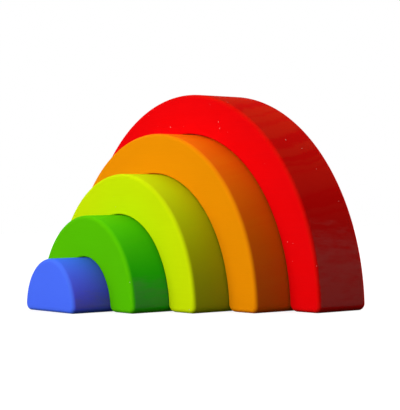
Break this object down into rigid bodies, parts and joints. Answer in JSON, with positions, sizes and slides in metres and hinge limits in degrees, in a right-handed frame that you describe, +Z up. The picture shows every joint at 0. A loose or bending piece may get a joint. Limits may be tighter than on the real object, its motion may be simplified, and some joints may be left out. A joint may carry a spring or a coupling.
{
  "type": "rainbow puzzle",
  "caption": "Nesting wooden rainbow: concentric painted arches over a half-round core, each loose and sliding through the tunnel of the arch around it.",
  "frame": {"origin": "on the table, in the middle of the set's box, under the crowns", "axes": "+X along the width of the arches, +Y along the tunnels towards the outermost arch, +Z up"},
  "size_m": [0.2, 0.1022, 0.1016],
  "materials": {
    "blue_paint": "satin blue paint on wood",
    "green_paint": "satin green paint on wood",
    "lime_paint": "satin yellow-green paint on wood",
    "orange_paint": "satin orange paint on wood",
    "red_paint": "satin red paint on wood"
  },
  "bodies": {
    "red": {"red_arch": "red_paint"},
    "orange": {"orange_arch": "orange_paint"},
    "lime": {"lime_arch": "lime_paint"},
    "green": {"green_arch": "green_paint"},
    "blue": {"blue_core": "blue_paint"}
  },
  "joints": [
    {"name": "orange_slide", "type": "slide", "parent": "red", "child": "orange", "axis": [0, 1, 0], "range_m": [-0.0187, 0.0561]},
    {"name": "lime_slide", "type": "slide", "parent": "orange", "child": "lime", "axis": [0, 1, 0], "range_m": [-0.0187, 0.0561]},
    {"name": "green_slide", "type": "slide", "parent": "lime", "child": "green", "axis": [0, 1, 0], "range_m": [-0.0187, 0.0561]},
    {"name": "blue_slide", "type": "slide", "parent": "green", "child": "blue", "axis": [0, 1, 0], "range_m": [-0.0187, 0.0561]}
  ]
}
